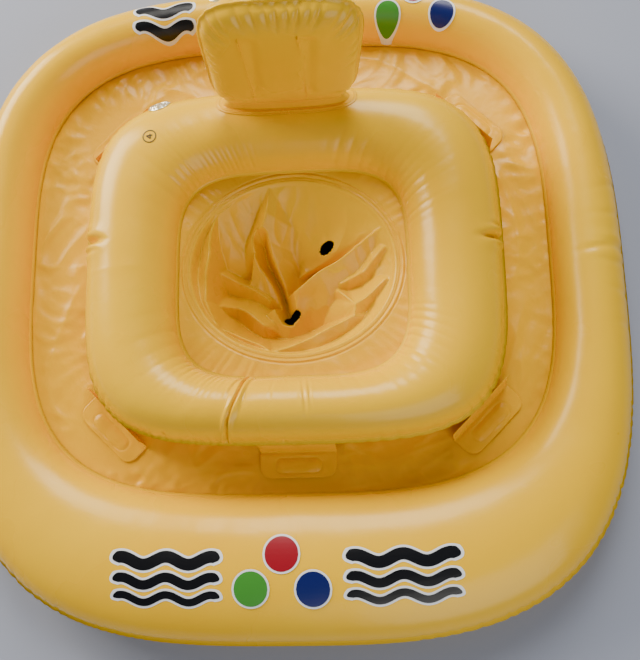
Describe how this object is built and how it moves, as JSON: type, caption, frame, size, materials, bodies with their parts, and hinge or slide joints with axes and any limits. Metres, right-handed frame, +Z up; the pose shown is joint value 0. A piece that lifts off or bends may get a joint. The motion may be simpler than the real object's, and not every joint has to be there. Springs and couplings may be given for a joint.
{
  "type": "inflatable baby float",
  "caption": "Inflatable rounded-square baby float with a raised seat ring, soft sling seat with leg holes, tilting backrest and push-in valves.",
  "frame": {"origin": "centre of the footprint, on the surface that the float lies on", "axes": "+Z up; the baby faces -Y; the backrest stands towards +Y; +X is to the right seen from the front camera side"},
  "size_m": [0.79, 0.79, 0.324],
  "materials": {
    "ring_film": "glossy calendered vinyl film",
    "web_film": "satin vinyl film",
    "seat_film": "glossy calendered vinyl film",
    "sling_film": "thin creased vinyl film",
    "tab_film": "welded vinyl film",
    "backrest_film": "glossy calendered vinyl film",
    "valve_clear": "soft clear vinyl moulding",
    "valve_plug": "soft clear vinyl moulding"
  },
  "bodies": {
    "float": {"anchor_tab_front": "tab_film", "anchor_tab_front_left": "tab_film", "anchor_tab_front_right": "tab_film", "anchor_tab_rear": "tab_film", "anchor_tab_rear_left": "tab_film", "anchor_tab_rear_right": "tab_film", "backrest_base_flange": "backrest_film", "leg_hole_hem_left": "sling_film", "leg_hole_hem_right": "sling_film", "outer_baffle_front": "ring_film", "outer_baffle_rear": "ring_film", "outer_ring_bottom_skin": "ring_film", "outer_ring_top_skin": "ring_film", "seat_collar": "seat_film", "seat_ring_bottom_skin": "seat_film", "seat_ring_top_skin": "seat_film", "sling_floor": "sling_film", "sling_wall": "sling_film", "valve1_base": "valve_clear", "valve2_base": "valve_clear", "valve4_base": "valve_clear", "web_sheet": "web_film"},
    "backrest": {"backrest_back_skin": "backrest_film", "backrest_front_skin": "backrest_film", "backrest_web_left": "backrest_film", "backrest_web_right": "backrest_film", "valve3_base": "valve_clear"},
    "valve1_stem": {"valve1_stem": "valve_clear"},
    "valve1_plug": {"valve1_plug": "valve_plug"},
    "valve1_flap": {"valve1_flap": "valve_clear"},
    "valve2_stem": {"valve2_stem": "valve_clear"},
    "valve2_plug": {"valve2_plug": "valve_plug"},
    "valve2_flap": {"valve2_flap": "valve_clear"},
    "valve3_stem": {"valve3_stem": "valve_clear"},
    "valve3_plug": {"valve3_plug": "valve_plug"},
    "valve3_flap": {"valve3_flap": "valve_clear"},
    "valve4_stem": {"valve4_stem": "valve_clear"},
    "valve4_plug": {"valve4_plug": "valve_plug"},
    "valve4_flap": {"valve4_flap": "valve_clear"}
  },
  "joints": [
    {"name": "backrest_tilt", "type": "hinge", "parent": "float", "child": "backrest", "pos_m": [0.012, 0.205, 0.1446], "axis": [1, 0, 0], "range_deg": [-30, 25], "stiffness_Nm_per_rad": 0.6},
    {"name": "valve1_pull", "type": "slide", "parent": "float", "child": "valve1_stem", "axis": [-0.0196, 0.6991, 0.7147], "range_m": [0, 0.012]},
    {"name": "valve1_unplug", "type": "slide", "parent": "valve1_stem", "child": "valve1_plug", "axis": [-0.0196, 0.6991, 0.7147], "range_m": [0, 0.01]},
    {"name": "valve1_flap_swing", "type": "hinge", "parent": "valve1_stem", "child": "valve1_flap", "pos_m": [-0.07027, 0.35625, 0.06857], "axis": [0.02, -0.7145, 0.6994], "range_deg": [0, 60]},
    {"name": "valve2_pull", "type": "slide", "parent": "float", "child": "valve2_stem", "axis": [0.0196, 0.6991, 0.7147], "range_m": [0, 0.012]},
    {"name": "valve2_unplug", "type": "slide", "parent": "valve2_stem", "child": "valve2_plug", "axis": [0.0196, 0.6991, 0.7147], "range_m": [0, 0.01]},
    {"name": "valve2_flap_swing", "type": "hinge", "parent": "valve2_stem", "child": "valve2_flap", "pos_m": [0.08106, 0.35595, 0.06857], "axis": [-0.02, -0.7145, 0.6994], "range_deg": [0, 60]},
    {"name": "valve3_pull", "type": "slide", "parent": "backrest", "child": "valve3_stem", "axis": [0, 1, 0], "range_m": [0, 0.012]},
    {"name": "valve3_unplug", "type": "slide", "parent": "valve3_stem", "child": "valve3_plug", "axis": [0, 1, 0], "range_m": [0, 0.01]},
    {"name": "valve3_flap_swing", "type": "hinge", "parent": "valve3_stem", "child": "valve3_flap", "pos_m": [0.0066, 0.2019, 0.186], "axis": [0, 0, -1], "range_deg": [0, 60]},
    {"name": "valve4_pull", "type": "slide", "parent": "float", "child": "valve4_stem", "axis": [-0.2296, 0.7752, 0.5885], "range_m": [0, 0.012]},
    {"name": "valve4_unplug", "type": "slide", "parent": "valve4_stem", "child": "valve4_plug", "axis": [-0.2296, 0.7752, 0.5885], "range_m": [0, 0.01]},
    {"name": "valve4_flap_swing", "type": "hinge", "parent": "valve4_stem", "child": "valve4_flap", "pos_m": [-0.12669, 0.1937, 0.10585], "axis": [0.1671, -0.5643, 0.8085], "range_deg": [0, 60]}
  ]
}
